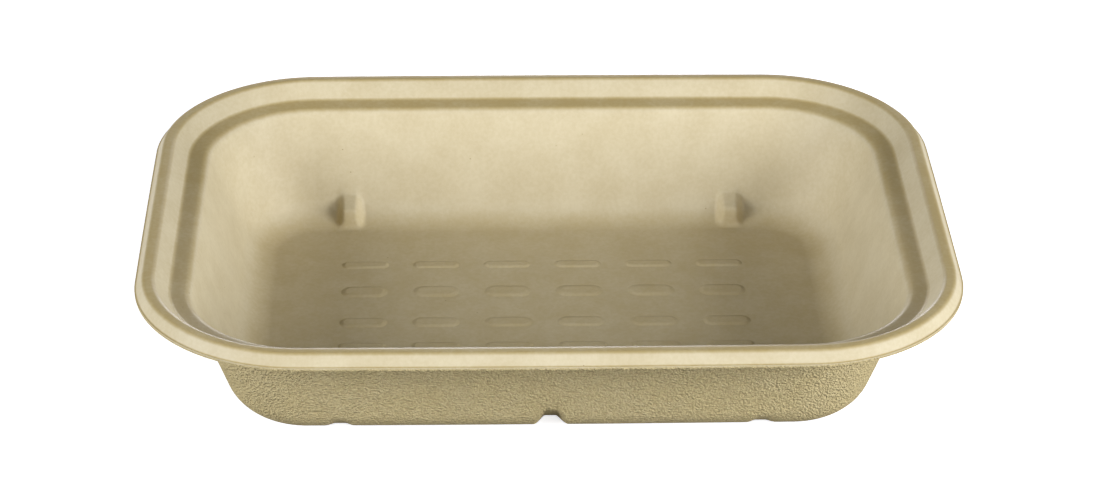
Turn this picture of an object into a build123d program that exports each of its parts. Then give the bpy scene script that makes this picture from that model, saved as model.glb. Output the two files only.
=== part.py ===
"""Moulded fibre take-out tray: one thin pulp sheet, pressed to a bowl with a rolled rim and a lid ledge."""
from build123d import *
from math import cos, radians, sin, sqrt, tan
import os

# Overall size over the trimmed lip, the rim's corner in plan, and the thickness of the pressed sheet
tray_length = 220.0
tray_width = 163.0
tray_height = 38.0
rim_corner = 44.0
sheet = 0.8

# Section of the sheet: places inwards from the lip, and drops below the crest
lip_flange = 0.9
lip_drop = 3.0
crest_outer = 2.15
crest_inner = 5.1
ledge_outer = 9.1
ledge_drop = 4.6
ledge_inner = 14.6
ledge_fall = 0.6
wall_draft = 18.0
floor_lap = 2.0

# Radius of each bend of the sheet, on its top side. The ledge's corner and the hidden folds are crisp
crest_outer_bend = 1.6
crest_inner_bend = 1.8
ledge_inner_bend = 2.3
heel_bend = 10.0

# Four nesting lugs that stand in the heel of the long walls
lug_spacing = 114.0
lug_height = 8.4
lug_depth = 4.6
lug_face = 5.0
lug_root = 10.4
lug_taper = 4.0
lug_bend = 1.3
lug_chamfer = 0.9

# Shallow dimple outside each lug, and one deeper vent notch at the front
groove_slope = 38.0
dimple_depth = 1.0
dimple_crown = 5.2
dimple_mouth = 7.2
notch_depth = 2.9
notch_crown = 2.9
notch_mouth = 7.5

# Low plain bars raised on the floor, in rows: how far back each row lies, and the width of its bars
bar_rows = [(30.9, 4.5), (15.6, 7.0), (-1.5, 6.0), (-14.3, 4.5)]
bars_along = 6
bar_length = 14.0
bar_height = 0.35
bar_pitch = 20.4

# Levels and places that follow from the sizes above
draft = radians(wall_draft)
ledge_level = tray_height - ledge_drop - ledge_fall
floor_edge = ledge_inner + (ledge_level - sheet) * tan(draft)
floor_flat = floor_edge + heel_bend * tan((radians(90) - draft) / 2)
heel_centre = Vector(0, floor_flat - tray_width / 2, sheet + heel_bend)


def plan(inset):
    """The tray's outline seen from above, drawn in by inset all round from the lip."""
    return RectangleRounded(tray_length - 2 * inset, tray_width - 2 * inset, rim_corner - inset)


def beside(corners, distance):
    """Corners of the line that runs parallel to the one through corners, at a distance to its right."""
    sides = [(far - near).normalized().rotate(Axis.Z, -90) for near, far in zip(corners, corners[1:])]
    return [
        corner + (first + second) * (distance / (1 + first.dot(second)))
        for corner, first, second in zip(corners, [sides[0], *sides], [*sides, sides[-1]])
    ]


def bowl(skin):
    """Solid that fills the tray from its floor to its ledge, out to a skin's depth inside the sheet."""
    inset = floor_edge - skin * (1 - sin(draft)) / cos(draft)
    with BuildPart() as filled:
        with BuildSketch(Plane.XY.offset(sheet - skin)):
            plan(inset)
        extrude(amount=ledge_level - sheet + skin, taper=-wall_draft)
        fillet(filled.faces().sort_by(Axis.Z)[0].edges(), heel_bend + skin)
    return filled.part


def heel_groove(depth, crown, mouth, grow=0):
    """Flared groove cut slantwise across the front heel from outside, grown on every side by grow."""
    slope = radians(groove_slope)
    outwards = Vector(0, -sin(slope), -cos(slope))
    roof = heel_centre + outwards * (heel_bend + sheet - depth - grow)
    flare = (mouth - crown) / 2 / depth
    roof_half = crown / 2 + grow * (sqrt(1 + flare**2) - flare)
    mouth_half = roof_half + flare * heel_bend
    with BuildPart() as groove:
        with BuildSketch(Plane(origin=roof, x_dir=(1, 0, 0), z_dir=Vector(1, 0, 0).cross(outwards))):
            with BuildLine():
                Polyline(
                    (-roof_half, 0),
                    (roof_half, 0),
                    (mouth_half, heel_bend),
                    (-mouth_half, heel_bend),
                    close=True,
                )
            make_face()
        extrude(amount=heel_bend, both=True)
    return groove.part


# The whole sheet, from the lip down to the floor, is one section carried round the rim
with BuildSketch(Plane.XY.offset(tray_height)) as rim:
    plan(0)
rim_path = rim.sketch.face().outer_wire()
heading = rim_path % 0
corners = [
    Vector(0, -lip_drop),
    Vector(lip_flange, -lip_drop),
    Vector(crest_outer, 0),
    Vector(crest_inner, 0),
    Vector(ledge_outer, -ledge_drop),
    Vector(ledge_inner, ledge_level - tray_height),
    Vector(floor_edge, sheet - tray_height),
    Vector(floor_flat + floor_lap, sheet - tray_height),
]
with BuildPart() as shell:
    with BuildSketch(Plane(origin=rim_path @ 0, x_dir=Vector(0, 0, 1).cross(heading), z_dir=heading)):
        with BuildLine():
            upper = FilletPolyline(
                *corners,
                radius=[
                    0,
                    crest_outer_bend,
                    crest_inner_bend,
                    0,
                    ledge_inner_bend,
                    heel_bend,
                ],
            )
            lower = FilletPolyline(*beside(corners, sheet), radius=[0, 0, 0, 0, 0, heel_bend + sheet])
            Line(upper @ 0, lower @ 0)
            Line(upper @ 1, lower @ 1)
        make_face()
    sweep(path=rim_path)
    with BuildSketch():
        plan(floor_flat + floor_lap / 2)
    extrude(amount=sheet)

# Each lug is a blunt peg that leans into the wall and stops in the middle of the sheet
lug_top = sheet + lug_height
wall_foot = tray_width / 2 - floor_edge
lug_front = wall_foot - lug_depth
lug_back = wall_foot + lug_height * tan(draft) + sheet / 2
with BuildPart() as lug:
    with BuildSketch():
        with BuildLine():
            Polyline(
                (-lug_root / 2, lug_back),
                (-lug_face / 2, lug_front),
                (lug_face / 2, lug_front),
                (lug_root / 2, lug_back),
                close=True,
            )
        make_face()
    extrude(amount=lug_top, taper=lug_taper)
    front = lug.faces().sort_by(Axis.Y)[0]
    fillet(front.edges().sort_by(Axis.Z)[1:-1], lug_bend)
    top = lug.faces().sort_by(Axis.Z)[-1]
    chamfer(top.edges().sort_by(Axis.Y)[:-1], lug_chamfer)

lug_places = [
    Location((side * lug_spacing / 2, 0, 0), (0, 0, turn)) for side in (-1, 1) for turn in (0, 180)
]
with BuildPart() as lugs:
    with Locations(lug_places):
        add(lug.part)
    add(bowl(sheet / 2), mode=Mode.INTERSECT)

with BuildPart() as notch_rib:
    add(heel_groove(notch_depth, notch_crown, notch_mouth, grow=sheet))
    add(bowl(sheet / 2), mode=Mode.INTERSECT)

with BuildPart() as tray:
    add(shell.part)
    add(lugs.part)
    add(notch_rib.part)
    add(heel_groove(notch_depth, notch_crown, notch_mouth), mode=Mode.SUBTRACT)
    with Locations(lug_places):
        add(heel_groove(dimple_depth, dimple_crown, dimple_mouth), mode=Mode.SUBTRACT)
    with BuildSketch(Plane.XY.offset(sheet)):
        for row, bar_width in bar_rows:
            with Locations((0, row)):
                with GridLocations(bar_pitch, 0, bars_along, 1):
                    Rectangle(bar_length, bar_width)
    extrude(amount=bar_height)

tray.part.label = "tray"
os.makedirs("parts", exist_ok=True)
export_step(tray.part, "parts/tray.step")
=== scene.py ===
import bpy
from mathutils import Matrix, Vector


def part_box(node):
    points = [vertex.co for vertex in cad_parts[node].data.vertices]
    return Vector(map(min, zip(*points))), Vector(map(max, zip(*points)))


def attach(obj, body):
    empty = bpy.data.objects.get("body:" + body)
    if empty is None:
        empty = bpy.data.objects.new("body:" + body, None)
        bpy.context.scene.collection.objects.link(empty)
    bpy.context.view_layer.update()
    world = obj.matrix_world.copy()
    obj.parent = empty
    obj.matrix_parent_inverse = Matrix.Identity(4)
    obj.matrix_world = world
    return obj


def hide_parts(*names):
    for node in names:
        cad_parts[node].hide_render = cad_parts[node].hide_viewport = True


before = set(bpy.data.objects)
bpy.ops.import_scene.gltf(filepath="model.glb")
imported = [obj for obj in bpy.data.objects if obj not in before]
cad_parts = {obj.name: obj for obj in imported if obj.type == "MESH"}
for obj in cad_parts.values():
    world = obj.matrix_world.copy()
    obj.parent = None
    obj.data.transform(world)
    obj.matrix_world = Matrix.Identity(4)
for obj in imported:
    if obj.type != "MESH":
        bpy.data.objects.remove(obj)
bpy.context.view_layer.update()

import math

import bpy
import numpy as np
from mathutils import Matrix, Vector

bl_info = {
    "name": "Moulded fibre tray",
    "version": (1, 0, 0),
    "blender": (4, 5, 0),
    "location": "View3D > Sidebar > Fibre tray",
    "description": "Dresses a moulded-fibre take-out tray with its pressed surfaces and pulp finish",
    "category": "Object",
}

MM = 0.001

# Steps between the grid's columns near the lugs and the notch and elsewhere, and how far near is.
FINE_STEP, COARSE_STEP, FINE_REACH = 0.42 * MM, 4.5 * MM, 7.5 * MM
CORNER_COLUMNS = 29
FLOOR_RINGS = 11
FRONT, LONG_SIDES = 0, (0, 2)

# Painted shade, darker and browner, lies where the section is level from one share on, over another,
# and less on the floor.
LEVEL_SHADE_FROM, LEVEL_SHADE_OVER, LEVEL_SHADE_ON_FLOOR = 0.62, 0.36, 0.42

# How far a bar's foot lies under the floor, and how far its hidden underside does.
BAR_SINK, BAR_ROOT = 0.02 * MM, 0.3 * MM
BAR_SIDES = 32

# Each lamp's turn from the front and rise, in degrees, and its share of the full lamp size.
LAMPS = {"left": (-62, 18, 1.0), "front": (20, 24, 1.0), "right": (60, 18, 1.0), "back": (180, 2, 0.4)}
tray_high = np.array(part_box("tray")[1])


# Properties


def length(name, description, millimetres):
    """A length property, given in millimetres and kept in metres."""
    return bpy.props.FloatProperty(
        name=name, description=description, default=millimetres * MM, unit="LENGTH", precision=5
    )


def angle(name, description, degrees):
    """An angle property, given in degrees and kept in radians."""
    return bpy.props.FloatProperty(
        name=name, description=description, default=math.radians(degrees), subtype="ANGLE"
    )


def colour(name, description, red, green, blue):
    """A colour property in linear light."""
    return bpy.props.FloatVectorProperty(
        name=name, description=description, default=(red, green, blue), subtype="COLOR", min=0, max=1
    )


def factor(name, description, default):
    """A share from 0 to 1."""
    return bpy.props.FloatProperty(
        name=name, description=description, default=default, min=0, max=1, subtype="FACTOR"
    )


def power(name, description, watts):
    """The power of a lamp, in watts."""
    return bpy.props.FloatProperty(
        name=name, description=description, default=watts, min=0, unit="POWER"
    )


def lengths(name, description, *millimetres):
    """Several lengths, given in millimetres and kept in metres."""
    return bpy.props.FloatVectorProperty(
        name=name,
        description=description,
        size=len(millimetres),
        default=[value * MM for value in millimetres],
        unit="LENGTH",
    )


class SheetProperties(bpy.types.PropertyGroup):
    """Section of the pressed sheet: places inwards from the lip, drops below the crest, and bends."""

    thickness: length("Thickness", "Thickness of the pressed sheet", 0.8)
    rim_corner: length("Rim corner", "Radius of the rim's corner in plan", 44.0)
    side_bow: length("Side bow", "How far the long sides stand out at their middle", 1.05)
    end_bow: length("End bow", "How far the ends stand out at their middle", 0.42)
    lip_flange: length("Lip flange", "Width of the narrow flat lip", 0.4)
    lip_drop: length("Lip drop", "Drop of the lip below the crest", 3.0)
    lip_bend: length("Lip bend", "Bend between the lip and the outer roll", 0.65)
    lip_pinch: length("Lip pinch", "How much thinner the trimmed edge of the lip is", 0.3)
    crest_outer: length("Crest, outer edge", "Where the outer roll would meet the crest", 2.15)
    crest_outer_bend: length("Crest bend, outer", "Bend from the outer roll to the crest", 1.6)
    crest_inner: length("Crest, inner edge", "Where the crest would meet the inner slope", 5.1)
    crest_inner_bend: length("Crest bend, inner", "Bend from the crest to the inner slope", 1.8)
    ledge_outer: length("Ledge, outer edge", "Where the inner slope would meet the ledge", 9.1)
    ledge_outer_bend: length("Ledge bend, outer", "Bend from the inner slope to the ledge", 1.8)
    ledge_drop: length("Ledge drop", "Drop of the lid ledge below the crest", 4.6)
    ledge_inner: length("Ledge, inner edge", "Where the ledge would meet the wall", 14.6)
    ledge_inner_bend: length("Ledge bend, inner", "Bend from the ledge down into the wall", 2.6)
    ledge_fall: length("Ledge fall", "Fall of the ledge towards the wall", 0.6)
    wall_draft: angle("Wall draft", "Mean slope of the wall away from upright", 18.0)
    end_lean: length("End lean", "How far in of the mean slope the floor's ends lie", 1.5)
    side_lean: length("Side lean", "How far out of the mean slope the floor's sides lie", 1.2)
    heel_bend: length("Heel bend", "Bend from the wall to the floor", 10.0)
    floor_lap: length("Floor lap", "Flat floor that is worked with the heel", 3.6)


class ReliefProperties(bpy.types.PropertyGroup):
    """Lugs, dimples, vent notch and floor bars."""

    lug_spacing: length("Lug spacing", "Distance between the two lugs of a long wall", 114.0)
    lug_height: length("Lug height", "Height of a lug above the floor", 6.4)
    lug_depth: length("Lug depth", "How far a lug stands in from the wall's foot", 4.8)
    lug_face: length("Lug face", "Width of a lug at its face", 4.0)
    lug_root: length("Lug root", "Width of a lug at the wall", 7.8)
    lug_foot: length("Lug foot", "How far the floor is worked in front of a lug", 3.0)
    lug_start: length("Lug start", "Height above the floor where the wall starts to bulge", 13.44)
    lug_tilt: lengths("Lug tilt", "Rise of a lug's top at the wall, and its fall at the face", 1.6, 0.6)
    lug_lean: length("Lug lean", "How far a lug's face leans back from its foot to its head", 0.9)
    lug_bends: lengths("Lug bends", "Bends at a lug's root, head and foot", 2.2, 1.3, 1.4)
    groove_slope: angle("Groove slope", "Direction in which the heel grooves are cut", 38.0)
    groove_bend: length("Groove bend", "How softly a groove's bottom turns into its flares", 0.5)
    groove_edge: length("Groove edge", "How softly a groove's flares run out into the heel", 0.9)
    dimple_depth: length("Dimple depth", "Depth of the dimple outside each lug", 0.8)
    dimple_crown: length("Dimple crown", "Width of a dimple at its bottom", 2.6)
    dimple_mouth: length("Dimple mouth", "Width of a dimple at the surface", 4.8)
    notch_depth: length("Notch depth", "Depth of the vent notch at the front", 2.9)
    notch_crown: length("Notch crown", "Width of the notch at its bottom", 2.9)
    notch_mouth: length("Notch mouth", "Width of the notch at the surface", 7.5)
    bar_length: length("Bar length", "Length of a raised bar on the floor", 14.0)
    bar_height: length("Bar height", "Height of a raised bar", 0.35)
    bar_pitch: length("Bar pitch", "Distance between bars along the tray", 20.4)
    bars_along: bpy.props.IntProperty(name="Bars along", description="Bars in a row", default=6)
    bar_rows: lengths("Bar rows", "How far back each row of bars lies", 30.9, 15.6, -1.5, -14.3)
    bar_widths: lengths("Bar widths", "Width of the bars in each row", 4.5, 7.0, 6.0, 4.5)


class FibreProperties(bpy.types.PropertyGroup):
    """Colours, painted shade and grain of the pressed pulp."""

    pale: colour("Pale fibre", "Colour of the pulp where it is lightest", 0.60, 0.525, 0.345)
    deep: colour("Deep fibre", "Colour of the pulp where it is darkest", 0.53, 0.45, 0.275)
    # Painted shade: the darker, browner colour laid on level ground, where the low lamps give less
    # light.
    settled: colour("Settled fibre", "Colour of pulp settled on level ground", 0.43, 0.33, 0.14)
    # The outside's own duller tone, darkened further as painted shade for the outer walls under the
    # rim.
    wire_side: colour("Wire side", "Colour of the pebbled outside", 0.54, 0.445, 0.22)
    # Also the colour of the painted shade in the pebbles' hollows outside.
    speck_and_pit_shade: colour("Speck", "Colour of the dark flecks of bark", 0.24, 0.15, 0.06)
    pressed_roughness: factor("Pressed roughness", "Roughness of the inside, ironed by the mould", 0.5)
    wire_roughness: factor("Wire-side roughness", "Roughness of the pebbled outside", 0.85)
    mottle_size: length("Mottle size", "Size of the soft patches of tone", 11.0)
    fleck_size: length("Fleck size", "Spacing of the dark flecks", 5.0)
    pebble_size: length("Pebble size", "Size of the wire's pebbled grain outside", 0.62)
    pebble_height: length("Pebble height", "Height of the wire's grain over the noise's range", 1.0)
    grain_height: length("Grain height", "Height of the faint fibre grain inside", 0.012)


class StageProperties(bpy.types.PropertyGroup):
    """Camera, floor, lamps and sky."""

    lens: bpy.props.FloatProperty(
        name="Lens",
        description="Focal length in millimetres on a 36 mm sensor",
        default=105.73,
        unit="CAMERA",
    )
    azimuth: angle("Azimuth", "Turn of the view away from straight ahead", 1.866)
    elevation: angle("Elevation", "How far the camera looks down", 29.528)
    roll: angle("Roll", "Turn of the picture about its middle", 0.542)
    camera_x: length("Camera X", "Place of the camera along the tray", -24.23)
    camera_y: length("Camera Y", "Place of the camera in front of the tray", -779.36)
    camera_z: length("Camera Z", "Height of the camera above the table", 464.83)
    floor_size: length("Floor size", "Side of the pale floor", 6000.0)
    floor_drop: length("Floor drop", "How far the floor lies below the tray", 0.05)
    floor_card: factor("Floor card", "Share of light the floor sends back to the tray", 0.22)
    floor_paper: factor("Floor paper", "Share of light the floor sends back to the camera", 0.9)
    floor_glow: factor("Floor glow", "How much of the floor's white it gives itself", 0.75)
    left_power: power("Left lamp", "Power of the soft lamp at the left front", 14.688)
    front_power: power("Front lamp", "Power of the soft lamp in front", 3.78)
    right_power: power("Right lamp", "Power of the soft lamp at the right front", 17.712)
    back_power: power("Back lamp", "Power of the small low lamp behind", 9.72)
    lamp_tint: colour("Lamp tint", "Colour of the lamps, a cool white", 0.9074, 0.9259, 1.0)
    lamp_size: length("Lamp size", "Side of each soft lamp", 550.0)
    lamp_distance: length("Lamp distance", "Distance of each lamp from the tray", 1200.0)
    lamp_aim: length("Lamp aim", "Height above the table that the lamps face", 20.0)
    sky: factor("Sky", "Strength of the light from all round", 0.035)
    backdrop: factor("Backdrop", "Brightness seen past the floor's edge", 0.8)


# Surfaces


def beside(corners, distance):
    """Corners of the line that runs parallel to the one through corners, at distance to its right.

    Each corner moves along the sum of its two side normals, over one plus their dot product.
    """
    runs = np.diff(corners, axis=0)
    runs /= np.linalg.norm(runs, axis=1, keepdims=True)
    sides = np.stack([runs[:, 1], -runs[:, 0]], axis=1)
    before = np.vstack([sides[:1], sides])
    after = np.vstack([sides, sides[-1:]])
    return corners + (before + after) * distance / (1 + np.sum(before * after, axis=1, keepdims=True))


def bent_line(corners, bends, bend_rows, run_rows):
    """Points of the line through corners, whose inner corners are rounded to the radii in bends.

    Each arc starts bend times the tangent of half the turn before its corner, and sweeps the turn
    about a centre that lies one bend to the side.
    """
    points, start = [], corners[0]
    for before, corner, after, bend, arc_steps, run_steps in zip(
        corners, corners[1:], corners[2:], bends, bend_rows, run_rows
    ):
        heading = (corner - before) / np.linalg.norm(corner - before)
        leaving = (after - corner) / np.linalg.norm(after - corner)
        turn = math.atan2(heading[0] * leaving[1] - heading[1] * leaving[0], heading @ leaving)
        side = math.copysign(1, turn) * np.array([-heading[1], heading[0]])
        tangent = corner - heading * bend * abs(math.tan(turn / 2))
        points.append(start + (tangent - start) * np.linspace(0, 1, run_steps, endpoint=False)[:, None])
        swept = np.linspace(0, turn, arc_steps + 1)[:, None]
        centre = tangent + bend * side
        arc = centre - bend * (side * np.cos(swept) + np.array([-side[1], side[0]]) * np.sin(swept))
        points.append(arc[:-1])
        start = arc[-1]
    points.append(start + (corners[-1] - start) * np.linspace(0, 1, run_rows[-1] + 1)[:, None])
    return np.vstack(points)


def smooth_step(value):
    """Rises from 0 to 1 as value does, as 3v squared minus 2v cubed."""
    held = np.clip(value, 0, 1)
    return held * held * (3 - 2 * held)


def soft_least(first, second, softness):
    """The lesser of two arrays, rounded by a parabola where they differ by under softness."""
    share = np.clip(0.5 + 0.5 * (second - first) / softness, 0, 1)
    return second + (first - second) * share - softness * share * (1 - share)


def sheet_corners(sheet):
    """Corners of the sheet's top line, from the lip inwards: distance from the lip, and height."""
    height = tray_high[2]
    ledge_level = height - sheet.ledge_drop - sheet.ledge_fall
    floor_edge = sheet.ledge_inner + (ledge_level - sheet.thickness) * math.tan(sheet.wall_draft)
    floor_flat = floor_edge + sheet.heel_bend * math.tan((math.pi / 2 - sheet.wall_draft) / 2)
    return np.array(
        [
            (0, height - sheet.lip_drop),
            (sheet.lip_flange, height - sheet.lip_drop),
            (sheet.crest_outer, height),
            (sheet.crest_inner, height),
            (sheet.ledge_outer, height - sheet.ledge_drop),
            (sheet.ledge_inner, ledge_level),
            (floor_edge, sheet.thickness),
            (floor_flat + sheet.floor_lap, sheet.thickness),
        ]
    )


def sheet_lines(sheet):
    """The sheet's top and underside lines in section, row by row from the lip to the floor."""
    corners = sheet_corners(sheet)
    bends = np.array(
        [
            sheet.lip_bend,
            sheet.crest_outer_bend,
            sheet.crest_inner_bend,
            sheet.ledge_outer_bend,
            sheet.ledge_inner_bend,
            sheet.heel_bend,
        ]
    )
    grows = sheet.thickness * np.array([1, -1, -1, 1, -1, 1])
    top_rows = ([4, 8, 6, 6, 9, 30], [1, 2, 2, 3, 3, 14, 8])
    under_rows = ([3, 5, 4, 4, 5, 30], [1, 1, 1, 2, 2, 14, 8])
    top = bent_line(corners, bends, *top_rows)
    under = bent_line(beside(corners, sheet.thickness), bends + grows, *under_rows)
    under[0, 1] += sheet.lip_pinch
    return top, under


def side_stations(half, centres):
    """Places along a straight side from -half to half, closer together round the centres.

    The wanted number of steps per length is added up along the side, and the places are read off
    that running total at even intervals.
    """
    along = np.linspace(-half, half, 4001)
    near = np.zeros_like(along)
    for centre in centres:
        near += smooth_step((FINE_REACH - np.abs(along - centre)) / (0.3 * FINE_REACH))
    density = 1 / COARSE_STEP + np.clip(near, 0, 1) * (1 / FINE_STEP - 1 / COARSE_STEP)
    total = np.concatenate([[0], np.cumsum((density[1:] + density[:-1]) / 2 * np.diff(along))])
    steps = int(np.ceil(total[-1]))
    return np.interp(np.linspace(0, total[-1], steps + 1), total, along)


def rim_columns(sheet, relief):
    """Columns round the tray: the centre each one is bent about, its outward direction, and its side.

    A straight side's centres run along it, and a corner's columns fan about one centre. Sides are
    numbered 0 to 3 from the front anticlockwise, and -1 is a corner.
    """
    half_length, half_width = tray_high[0] - sheet.rim_corner, tray_high[1] - sheet.rim_corner
    lugs = [-relief.lug_spacing / 2, relief.lug_spacing / 2]
    front = side_stations(half_length, [*lugs, 0])
    back = -side_stations(half_length, lugs)
    ends = side_stations(half_width, [])
    fan = np.linspace(0, math.pi / 2, CORNER_COLUMNS + 2)[1:-1]
    parts = []
    for side, stations in enumerate((front, ends, back, -ends)):
        straight = np.array([(0, -1), (1, 0), (0, 1), (-1, 0)][side], float)
        centres = [half_length, half_width] * straight + stations[:, None] * np.abs(straight[::-1])
        parts.append((centres, np.tile(straight, (len(stations), 1)), np.full(len(stations), side)))
        swept = (side - 1) * math.pi / 2 + fan
        outwards = np.stack([np.cos(swept), np.sin(swept)], axis=1)
        parts.append((np.tile(centres[-1], (len(fan), 1)), outwards, np.full(len(fan), -1)))
    return tuple(np.concatenate(values) for values in zip(*parts))


def press_lugs(line, centres, sides, sheet, relief):
    """Pushes the top line out to a blunt peg at each lug, and returns it column by column.

    Between a point on the floor and a point up the wall, the line is blended towards the peg's own
    outline, taken at the same share of its length. The blend is whole across the face and falls
    evenly to nothing at the root, which makes the peg's slanted sides.
    """
    floor_edge, floor_level = sheet_corners(sheet)[6]
    start = floor_level + relief.lug_start
    root, head = floor_level + relief.lug_height + np.array(relief.lug_tilt) * [1, -1]
    wall = floor_edge - (np.array([start, root]) - floor_level) * math.tan(sheet.wall_draft)
    face = floor_edge + relief.lug_depth
    end = face + relief.lug_foot
    corners = [
        (wall[0], start),
        (wall[1], root),
        (face - relief.lug_lean, head),
        (face, floor_level),
        (end, floor_level),
    ]
    peg = bent_line(np.array(corners), relief.lug_bends, [12] * 3, [12] * 4)
    peg_run = np.insert(np.cumsum(np.linalg.norm(np.diff(peg, axis=0), axis=1)), 0, 0)
    line_run = np.insert(np.cumsum(np.linalg.norm(np.diff(line, axis=0), axis=1)), 0, 0)
    rows = (line[:, 0] > wall[0]) & (line[:, 0] < end) & (line[:, 1] < start)
    share = np.interp(line_run, line_run[rows][[0, -1]], [0, peg_run[-1]])
    target = np.stack([np.interp(share, peg_run, peg[:, k]) for k in range(2)], axis=1)
    beside_lug = np.abs(np.abs(centres[:, 0]) - relief.lug_spacing / 2)
    slope = (relief.lug_root / 2 - beside_lug) / (relief.lug_root - relief.lug_face) * 2
    softness = 0.3
    blend = -soft_least(-soft_least(slope, 1.0, softness), 0.0, softness)
    blend = blend * np.isin(sides, LONG_SIDES) * rows[:, None]
    return line[:, None] + blend[..., None] * (target - line)[:, None]


def press_grooves(points, centres, sides, sheet, relief, grow):
    """Flattens the heel inwards at the notch, and at the dimples where grow is 0.

    Along the groove's slant, a point's distance from the heel's centre is limited to that of the
    groove's bottom, and the limit rises with the flare beside it.
    """
    corners = sheet_corners(sheet)
    slant = -np.array([math.sin(relief.groove_slope), math.cos(relief.groove_slope)])
    heel = np.array([corners[7, 0] - sheet.floor_lap, sheet.thickness + sheet.heel_bend])
    along = np.abs(centres[:, 0])
    notch = (relief.notch_depth, relief.notch_crown, relief.notch_mouth, along, sides == FRONT)
    beside_lug = np.abs(along - relief.lug_spacing / 2)
    long_side = np.isin(sides, LONG_SIDES)
    dimple = (relief.dimple_depth, relief.dimple_crown, relief.dimple_mouth, beside_lug, long_side)
    for depth, crown, mouth, across, where in (notch,) if grow else (notch, dimple):
        flare = (mouth - crown) / 2 / depth
        crown_half = crown / 2 + grow * (math.hypot(1, flare) - flare)
        rise = np.maximum(across - crown_half, 0) / flare
        rise = np.hypot(rise, relief.groove_bend) - relief.groove_bend
        limit = sheet.heel_bend + sheet.thickness - depth - grow + rise
        outwards = (points - heel) @ slant
        worked = where & (points[..., 0] > corners[5, 0] + 2 * MM)
        moved = np.where(worked, soft_least(outwards, limit, relief.groove_edge), outwards)
        points = points + (moved - outwards)[..., None] * slant
    return points


def tray_surface(sheet, relief):
    """Grid of points over the closed sheet, with each row's share of wire side and of painted level
    shade.

    Rows run from the middle of the floor out over the top to the lip, and back underneath. A
    column's point is its centre plus the corner radius less the distance from the lip, times its
    outward direction. The sides are drawn in towards the corners by a parabola, and below the ledge
    the ends and long sides are scaled in or out evenly with the depth. Painted shade is laid where
    the section runs level, and more so up on the rim than on the floor.
    """
    top, under = sheet_lines(sheet)
    centres, outwards, sides = rim_columns(sheet, relief)
    inside = press_lugs(top, centres, sides, sheet, relief)
    inside = press_grooves(inside, centres, sides, sheet, relief, sheet.thickness)
    outside = np.repeat(under[:, None], len(centres), axis=1)
    outside = press_grooves(outside, centres, sides, sheet, relief, 0)
    section = np.concatenate([inside[::-1], outside])
    flat = centres + (sheet.rim_corner - section[..., :1]) * outwards
    half = tray_high[:2]
    flat *= 1 - np.array([sheet.end_bow, sheet.side_bow]) / half * (flat / half)[..., ::-1] ** 2
    ledge_level, floor_edge = sheet_corners(sheet)[5, 1], sheet_corners(sheet)[6, 0]
    depth = np.clip((ledge_level - section[..., 1:]) / (ledge_level - sheet.thickness), 0, 1)
    flat *= 1 + np.array([-sheet.end_lean, sheet.side_lean]) / (half - floor_edge) * depth
    rows = np.concatenate([flat, section[..., 1:]], axis=2)
    rings = np.ones((FLOOR_RINGS, 1, 3))
    rings[..., :2] *= np.linspace(0, 1, FLOOR_RINGS + 2)[1:-1, None, None]
    grid = np.concatenate([rows[0] * rings, rows, (rows[-1] * rings)[::-1]])
    wire = np.repeat([0.0, 1.0], [FLOOR_RINGS + len(top), len(under) + FLOOR_RINGS])
    # Painted level shade: level rows, most of all up at the rim and ledge, get the darker, browner
    # colour.
    line = np.concatenate([top[::-1], under])
    runs = np.gradient(line, axis=0)
    level = np.abs(runs[:, 0]) / np.linalg.norm(runs, axis=1)
    share = np.interp(line[:, 1], [sheet.thickness, ledge_level], [LEVEL_SHADE_ON_FLOOR, 1])
    settled = smooth_step((level - LEVEL_SHADE_FROM) / LEVEL_SHADE_OVER) * share
    settled = np.pad(settled, FLOOR_RINGS, mode="edge")
    return grid, wire, settled


def closed_grid_faces(rows, columns):
    """Quads of a grid whose columns close on themselves, and triangles to a pole at each end."""
    row, column = np.meshgrid(np.arange(rows - 1), np.arange(columns), indexing="ij")
    here, after = row * columns + column, row * columns + (column + 1) % columns
    quads = np.stack([here, here + columns, after + columns, after], axis=-1).reshape(-1, 4)
    ring = np.arange(columns)
    following = (ring + 1) % columns
    first_pole, second_pole = np.full((2, columns), rows * columns) + [[0], [1]]
    last = (rows - 1) * columns
    first = np.stack([first_pole, ring, following], axis=1)
    second = np.stack([second_pole, last + following, last + ring], axis=1)
    return quads, np.concatenate([first, second])


def mesh_object(name, points, quads, triangles):
    """An object from arrays of points, quads and triangles, smooth apart from edges over 35 degrees."""
    mesh = bpy.data.meshes.new(name)
    mesh.vertices.add(len(points))
    mesh.vertices.foreach_set("co", points.astype(np.float32).ravel())
    loops = np.concatenate([quads.ravel(), triangles.ravel()])
    sizes = np.concatenate([np.full(len(quads), 4), np.full(len(triangles), 3)])
    mesh.loops.add(len(loops))
    mesh.loops.foreach_set("vertex_index", loops.astype(np.int32))
    mesh.polygons.add(len(sizes))
    mesh.polygons.foreach_set("loop_start", (np.cumsum(sizes) - sizes).astype(np.int32))
    mesh.update(calc_edges=True)
    mesh.validate()
    mesh.shade_smooth()
    mesh.set_sharp_from_angle(angle=math.radians(35))
    piece = bpy.data.objects.new(name, mesh)
    bpy.context.scene.collection.objects.link(piece)
    return piece


def grid_object(name, grid):
    """A closed object from a grid of points, with a pole in the middle of its first and last rows."""
    rows, columns = grid.shape[:2]
    poles = np.array([grid[0].mean(axis=0), grid[-1].mean(axis=0)])
    quads, triangles = closed_grid_faces(rows, columns)
    return mesh_object(name, np.concatenate([grid.reshape(-1, 3), poles]), quads, triangles)


def point_values(piece, name, values):
    """Writes one number per point of a piece as an attribute that its material reads."""
    attribute = piece.data.attributes.new(name, "FLOAT", "POINT")
    attribute.data.foreach_set("value", np.asarray(values, np.float32))


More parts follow.
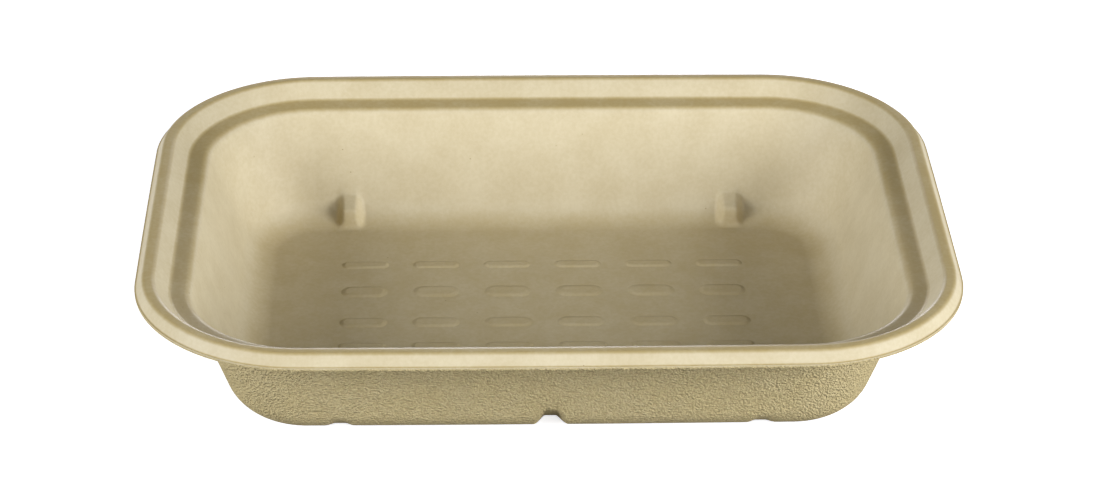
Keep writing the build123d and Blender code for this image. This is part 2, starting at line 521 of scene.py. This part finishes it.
def bar_grid(relief, width, floor_level):
    """Grid over one raised bar about the origin, from the middle of its top down under the floor.

    Each ring is the bar's long rounded outline drawn in by a step, and its height is a smooth step
    of the distance from the outline, so the foot meets the floor without a crease.
    """
    radius = width / 2
    turn = np.linspace(0, 2 * math.pi, BAR_SIDES, endpoint=False) + math.pi / BAR_SIDES
    centre = np.sign(np.cos(turn)) * (relief.bar_length / 2 - radius)
    inset = radius * np.array([0.9, 0.72, 0.58, 0.46, 0.36, 0.27, 0.18, 0.09, 0.0])
    foot = 0.55 * radius
    level = floor_level - BAR_SINK + (relief.bar_height + BAR_SINK) * smooth_step(inset / foot)
    ring_x = centre + (radius - inset)[:, None] * np.cos(turn)
    ring_y = (radius - inset)[:, None] * np.sin(turn)
    top = np.stack([ring_x, ring_y, np.repeat(level[:, None], len(turn), axis=1)], axis=2)
    under = top[[-1, 4, 0]] * [1, 1, 0] + [0, 0, floor_level - BAR_ROOT]
    return np.concatenate([top, under])


# Materials


class Shade:
    """The node tree of a material or of the world, with one method that adds any node."""

    def __init__(self, owner):
        owner.use_nodes = True
        self.tree = owner.node_tree
        self.tree.nodes.clear()

    def node(self, kind, settings=None, output=0, **sockets):
        """Adds a node, sets its settings and then its sockets, and returns one of its outputs.

        A socket is given by its name with underscores for spaces, or by its place, as in i0.
        """
        made = self.tree.nodes.new(kind)
        for key, value in (settings or {}).items():
            setattr(made, key, value)
        for key, value in sockets.items():
            place = key[1:] if key[1:].isdigit() else made.inputs.find(key.replace("_", " "))
            socket = made.inputs[int(place)]
            if isinstance(value, Socket):
                self.tree.links.new(value.socket, socket)
            elif socket.type == "RGBA":
                socket.default_value = (*value, 1)
            else:
                socket.default_value = value
        return Socket(self, made.outputs[output] if made.outputs else None)


class Socket:
    """An output of a node, on which arithmetic adds Math nodes."""

    def __init__(self, shade, socket):
        self.shade = shade
        self.socket = socket

    def math(self, operation, first, second):
        """The result of a Math node."""
        return self.shade.node("ShaderNodeMath", {"operation": operation}, i0=first, i1=second)

    def __add__(self, other):
        return self.math("ADD", self, other)

    __radd__ = __add__

    def __sub__(self, other):
        return self.math("SUBTRACT", self, other)

    def __rsub__(self, other):
        return self.math("SUBTRACT", other, self)

    def __mul__(self, other):
        return self.math("MULTIPLY", self, other)

    __rmul__ = __mul__

    def __or__(self, other):
        """The greater of the two."""
        return self.math("MAXIMUM", self, other)

    def between(self, low, high):
        """0 below low, 1 above high, and a smooth step between them."""
        return self.shade.node(
            "ShaderNodeMapRange",
            {"interpolation_type": "SMOOTHSTEP"},
            Value=self,
            From_Min=low,
            From_Max=high,
        )


def noise(shade, place, size, detail=2.0, roughness=0.5):
    """Smooth noise from 0 to 1 with patches of about size, in metres."""
    return shade.node(
        "ShaderNodeTexNoise", Vector=place, Scale=1 / size, Detail=detail, Roughness=roughness
    )


def point_share(shade, name):
    """The number that each point of a piece keeps under a name."""
    return shade.node("ShaderNodeAttribute", {"attribute_name": name}, output=2)


def blend_colour(shade, share, first, second):
    """Goes from the first colour to the second as share goes from 0 to 1."""
    return shade.node("ShaderNodeMix", {"data_type": "RGBA"}, output=2, i0=share, i6=first, i7=second)


def pulp_material(fibre):
    """Dry pressed pulp, smooth and pale on walls, with painted shade deeper and browner on level
    ground, and pebbled outside in a duller tone that is partly painted shade.
    """
    material = bpy.data.materials.new("pressed_pulp")
    shade = Shade(material)
    place = shade.node("ShaderNodeTexCoord", output=3)
    wire = point_share(shade, "wire_side")
    settled = point_share(shade, "settled")
    patches = noise(shade, place, fibre.mottle_size, 4.0, 0.6)
    cloud = noise(shade, place, fibre.mottle_size / 9, 3.0, 0.6)
    tone = patches.between(0.32, 0.68) * 0.55 + cloud.between(0.3, 0.7) * 0.45
    base = blend_colour(shade, tone, fibre.deep, fibre.pale)
    # Painted shade: level ground goes darker and browner, as if the low lamps hardly reached it.
    base = blend_colour(shade, settled * (1.1 - tone * 0.4), base, fibre.settled)
    # The outside's own duller tone, darkened further as painted shade for the outer walls under the
    # rim.
    base = blend_colour(shade, wire * (1 - tone * 0.2), base, fibre.wire_side)

    dots = shade.node("ShaderNodeTexVoronoi", Vector=place, Scale=1 / fibre.fleck_size)
    chosen = noise(shade, place, fibre.fleck_size * 1.7, 0.0)
    fleck = (1 - dots.between(0.02, 0.055)) * chosen.between(0.5, 0.6)
    base = blend_colour(shade, fleck * 0.6, base, fibre.speck_and_pit_shade)

    pebble = noise(shade, place, fibre.pebble_size, 1.0, 0.45)
    # Painted shade in the hollows of the pebbled grain, in the speck colour.
    painted_pit_shade = wire * (1 - pebble.between(0.36, 0.6))
    base = blend_colour(shade, painted_pit_shade * 0.28, base, fibre.speck_and_pit_shade)
    grain = noise(shade, place, fibre.pebble_size * 0.55, 3.0, 0.6)
    height = wire * pebble * fibre.pebble_height + grain * fibre.grain_height
    rough = fibre.pressed_roughness + wire * (fibre.wire_roughness - fibre.pressed_roughness)
    pulp = shade.node(
        "ShaderNodeBsdfPrincipled",
        Base_Color=base,
        Roughness=rough + (cloud - 0.5) * 0.1,
        Specular_IOR_Level=0.15,
        Normal=shade.node("ShaderNodeBump", Strength=1.0, Distance=1.0, Height=height),
    )
    shade.node("ShaderNodeOutputMaterial", Surface=pulp)
    return material


def seen_plainly(shade):
    """1 for a ray from the camera, a gloss or a glass, and 0 for the light that surfaces send out."""
    camera, glossy, through = (shade.node("ShaderNodeLightPath", output=place) for place in (0, 3, 6))
    return camera | glossy | through


def floor_material(stage):
    """Pale paper that is white to the camera and in a gloss, and keeps the tray's soft shadow.

    For those rays most of the white is the floor's own glow, and the rest is the light that falls on
    it. For the light that it sends back to the tray it is grey card.
    """
    material = bpy.data.materials.new("pale_floor")
    shade = Shade(material)
    card = shade.node("ShaderNodeBsdfDiffuse", Color=[stage.floor_card] * 3)
    paper = shade.node("ShaderNodeBsdfDiffuse", Color=[stage.floor_paper] * 3)
    glow = shade.node("ShaderNodeEmission", Color=(1, 1, 1), Strength=stage.floor_glow)
    white = shade.node("ShaderNodeAddShader", i0=paper, i1=glow)
    shown = shade.node("ShaderNodeMixShader", i0=seen_plainly(shade), i1=card, i2=white)
    shade.node("ShaderNodeOutputMaterial", Surface=shown)
    return material


# Operators


class FIBRE_OT_sheet(bpy.types.Operator):
    """Make the tray itself: one pressed sheet with its rim, walls, lugs and notch"""

    bl_idname = "fibre_tray.sheet"
    bl_label = "Pressed sheet"

    def execute(self, context):
        scene = context.scene
        grid, wire, settled = tray_surface(scene.tray_sheet, scene.tray_relief)
        piece = grid_object("tray_sheet", grid)
        for name, values in (("wire_side", wire), ("settled", settled)):
            values = np.concatenate([np.repeat(values, grid.shape[1]), values[[0, -1]]])
            point_values(piece, name, values)
        piece.data.materials.append(pulp_material(scene.tray_fibre))
        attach(piece, "root")
        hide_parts("tray")
        return {"FINISHED"}


class FIBRE_OT_bars(bpy.types.Operator):
    """Make the rows of low plain bars that stand on the floor"""

    bl_idname = "fibre_tray.bars"
    bl_label = "Floor bars"

    def execute(self, context):
        relief = context.scene.tray_relief
        along = (np.arange(relief.bars_along) - (relief.bars_along - 1) / 2) * relief.bar_pitch
        floor_level = context.scene.tray_sheet.thickness
        bars = np.stack([bar_grid(relief, width, floor_level) for width in relief.bar_widths])
        poles = bars[:, [0, -1]].mean(axis=2)
        points = np.concatenate([bars.reshape(len(bars), -1, 3), poles], axis=1)
        moves = np.zeros((len(bars), len(along), 1, 3))
        moves[..., 0, 0] = along
        moves[..., 0, 1] = np.array(relief.bar_rows)[:, None]
        quads, triangles = closed_grid_faces(*bars.shape[1:3])
        starts = np.arange(len(bars) * len(along))[:, None, None] * points.shape[1]
        piece = mesh_object(
            "floor_bars",
            (points[:, None] + moves).reshape(-1, 3),
            (quads[None] + starts).reshape(-1, 4),
            (triangles[None] + starts).reshape(-1, 3),
        )
        # The bars get half of the painted level shade, as level ground does.
        point_values(piece, "settled", np.full(len(piece.data.vertices), 0.5))
        piece.data.materials.append(bpy.data.materials["pressed_pulp"])
        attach(piece, "root")
        return {"FINISHED"}


class FIBRE_OT_stage(bpy.types.Operator):
    """Set the pale floor, the soft lights, the pale surroundings and the camera"""

    bl_idname = "fibre_tray.stage"
    bl_label = "Stage"

    def execute(self, context):
        stage = context.scene.tray_stage
        self.floor(stage)
        self.world(context, stage)
        self.lights(context, stage)
        self.camera(context, stage)
        context.scene.view_settings.view_transform = "Standard"
        return {"FINISHED"}

    def floor(self, stage):
        """A square floor, a hair below the tray so that the two don't share a plane."""
        corners = np.array([(-1, -1, 0), (1, -1, 0), (1, 1, 0), (-1, 1, 0)]) * stage.floor_size / 2
        corners[:, 2] = -stage.floor_drop
        floor = mesh_object("floor", corners, np.array([[0, 1, 2, 3]]), np.zeros((0, 3), int))
        floor.data.materials.append(floor_material(stage))

    def world(self, context, stage):
        """Faint warm light from all round, and a pale backdrop where a ray sees past the floor."""
        context.scene.world = bpy.data.worlds.new("studio")
        shade = Shade(context.scene.world)
        ambient = shade.node("ShaderNodeBackground", Color=(1, 0.97, 0.92), Strength=stage.sky)
        pale = shade.node("ShaderNodeBackground", Color=[stage.backdrop] * 3, Strength=1.0)
        sky = shade.node("ShaderNodeMixShader", i0=seen_plainly(shade), i1=ambient, i2=pale)
        shade.node("ShaderNodeOutputWorld", Surface=sky)

    def lights(self, context, stage):
        """Soft lamps round the tray, each at a turn from the front, a rise and a share of the size."""
        for name, (turn, rise, share) in LAMPS.items():
            light = bpy.data.lights.new(f"{name}_lamp", "AREA")
            light.energy = getattr(stage, f"{name}_power")
            light.color = stage.lamp_tint
            light.size = stage.lamp_size * share
            lamp = bpy.data.objects.new(light.name, light)
            context.scene.collection.objects.link(lamp)
            turn, rise = math.radians(turn), math.radians(rise)
            level = math.cos(rise)
            out = Vector((math.sin(turn) * level, -math.cos(turn) * level, math.sin(rise)))
            lamp.location = out * stage.lamp_distance + Vector((0, 0, stage.lamp_aim))
            lamp.rotation_euler = out.to_track_quat("Z", "Y").to_euler()
            lamp.visible_camera = False

    def camera(self, context, stage):
        """A camera at the place and tilt from which the tray is seen."""
        camera = bpy.data.cameras.new("camera")
        camera.lens = stage.lens
        camera.sensor_width = 36
        camera.clip_start, camera.clip_end = 0.01, 20
        view = bpy.data.objects.new("camera", camera)
        context.scene.collection.objects.link(view)
        forward = Vector(
            (
                math.sin(stage.azimuth) * math.cos(stage.elevation),
                math.cos(stage.azimuth) * math.cos(stage.elevation),
                -math.sin(stage.elevation),
            )
        )
        right = Vector((math.cos(stage.azimuth), -math.sin(stage.azimuth), 0))
        up = right.cross(forward)
        tilted_right = right * math.cos(stage.roll) + up * math.sin(stage.roll)
        tilted_up = up * math.cos(stage.roll) - right * math.sin(stage.roll)
        turn = Matrix((tilted_right, tilted_up, -forward)).transposed()
        place = Matrix.Translation((stage.camera_x, stage.camera_y, stage.camera_z))
        view.matrix_world = place @ turn.to_4x4()
        context.scene.camera = view


class FIBRE_PT_panel(bpy.types.Panel):
    """Lists the steps that dress the tray"""

    bl_idname = "FIBRE_PT_panel"
    bl_label = "Fibre tray"
    bl_space_type = "VIEW_3D"
    bl_region_type = "UI"
    bl_category = "Fibre tray"

    def draw(self, context):
        for operator in OPERATORS:
            self.layout.operator(operator.bl_idname)
        for group in GROUPS:
            values = getattr(context.scene, group)
            box = self.layout.box()
            for key in values.bl_rna.properties.keys():
                if key not in {"rna_type", "name"}:
                    box.prop(values, key)


GROUPS = {
    "tray_sheet": SheetProperties,
    "tray_relief": ReliefProperties,
    "tray_fibre": FibreProperties,
    "tray_stage": StageProperties,
}
OPERATORS = (FIBRE_OT_sheet, FIBRE_OT_bars, FIBRE_OT_stage)


def register():
    for kind in (*GROUPS.values(), *OPERATORS, FIBRE_PT_panel):
        bpy.utils.register_class(kind)
    for name, kind in GROUPS.items():
        setattr(bpy.types.Scene, name, bpy.props.PointerProperty(type=kind))


def unregister():
    for name in GROUPS:
        delattr(bpy.types.Scene, name)
    for kind in (FIBRE_PT_panel, *reversed(OPERATORS), *reversed(list(GROUPS.values()))):
        bpy.utils.unregister_class(kind)


def main():
    """Makes the tray and its stage."""
    register()
    bpy.ops.fibre_tray.sheet()
    bpy.ops.fibre_tray.bars()
    bpy.ops.fibre_tray.stage()


if __name__ == "__main__":
    main()
